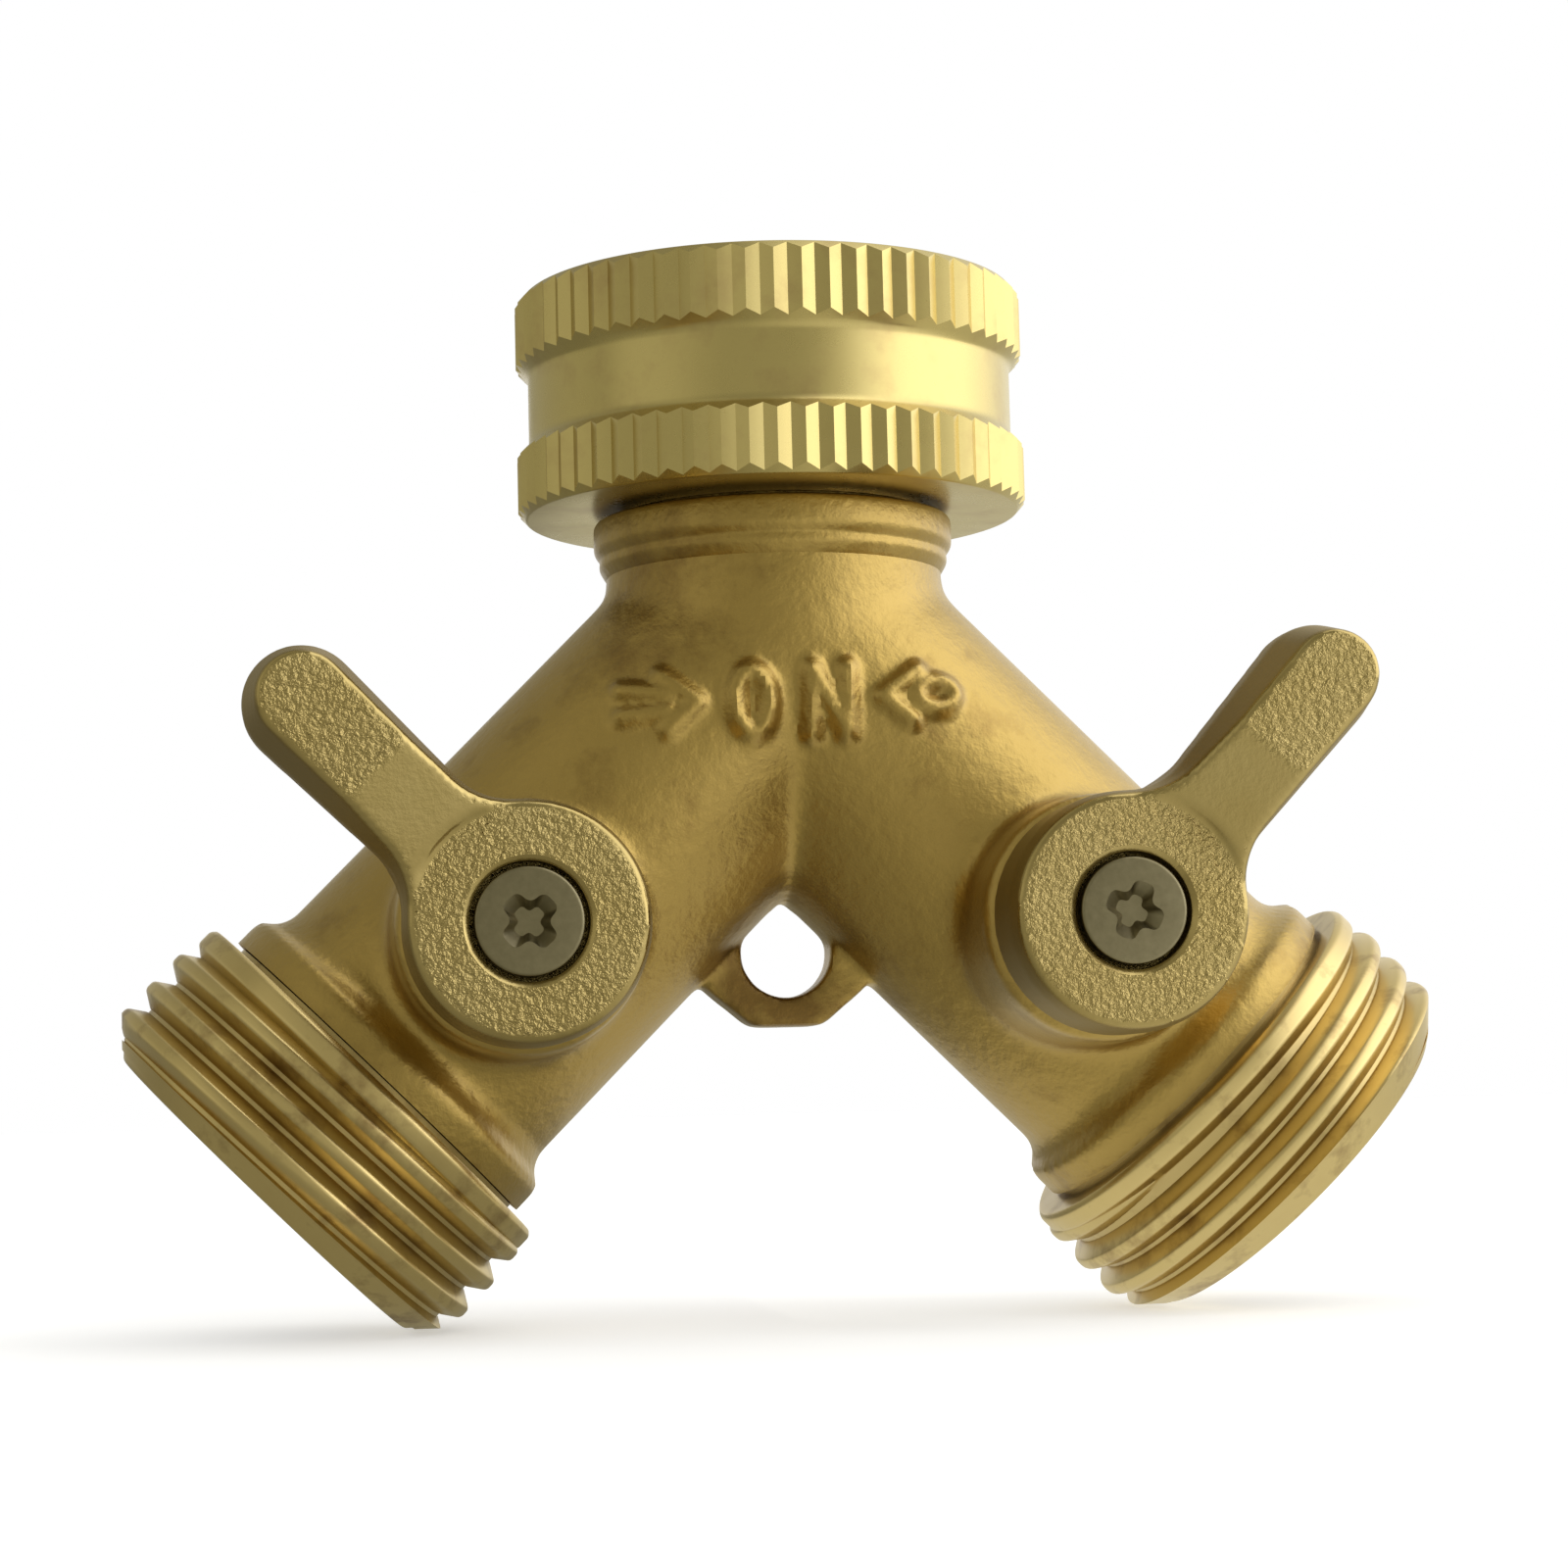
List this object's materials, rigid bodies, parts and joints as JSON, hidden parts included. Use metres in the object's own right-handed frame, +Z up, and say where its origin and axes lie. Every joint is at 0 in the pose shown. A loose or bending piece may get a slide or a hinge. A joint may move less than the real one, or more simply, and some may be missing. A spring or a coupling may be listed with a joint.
{
  "type": "hose splitter",
  "caption": "Brass Y-shaped garden hose splitter with a knurled swivel inlet nut, lever-operated ball valves and male threaded hose outlets.",
  "frame": {"origin": "Centre of the swivel nut's top rim, on the inlet axis, where the tap's spout enters.", "axes": "+Z runs up the inlet axis into the tap, -Y is the front with the lever handles, +X is to the right seen from the front."},
  "size_m": [0.0794, 0.0406, 0.0624],
  "materials": {
    "cast_brass": "bead-blasted casting",
    "turned_brass": "machined, bright",
    "handle_brass": "coarse sand-cast",
    "steel": "dull grey",
    "plated_brass": "plated and polished",
    "rubber": "matte",
    "ptfe": "smooth white"
  },
  "bodies": {
    "body": {"body": "cast_brass", "retaining_ring": "steel", "left_inner_seat": "ptfe", "left_outer_seat": "ptfe", "left_thrust_washer": "ptfe", "left_outlet": "turned_brass", "right_inner_seat": "ptfe", "right_outer_seat": "ptfe", "right_thrust_washer": "ptfe", "right_outlet": "turned_brass"},
    "swivel_nut": {"swivel_nut": "turned_brass", "hose_washer": "rubber"},
    "left_valve": {"left_ball": "plated_brass", "left_stem": "turned_brass", "left_lower_o_ring": "rubber", "left_upper_o_ring": "rubber", "left_handle": "handle_brass", "left_handle_screw": "steel"},
    "right_valve": {"right_ball": "plated_brass", "right_stem": "turned_brass", "right_lower_o_ring": "rubber", "right_upper_o_ring": "rubber", "right_handle": "handle_brass", "right_handle_screw": "steel"}
  },
  "joints": [
    {"name": "nut_swivel", "type": "hinge", "parent": "body", "child": "swivel_nut", "pos_m": [0, 0, -0.0068], "axis": [0, 0, 1], "continuous": true},
    {"name": "left_valve_turn", "type": "hinge", "parent": "body", "child": "left_valve", "pos_m": [-0.01669, 0, -0.03939], "axis": [0, 1, 0], "range_deg": [0, 90]},
    {"name": "right_valve_turn", "type": "hinge", "parent": "body", "child": "right_valve", "pos_m": [0.01669, 0, -0.03939], "axis": [0, -1, 0], "range_deg": [-3.6, 86.4]}
  ]
}
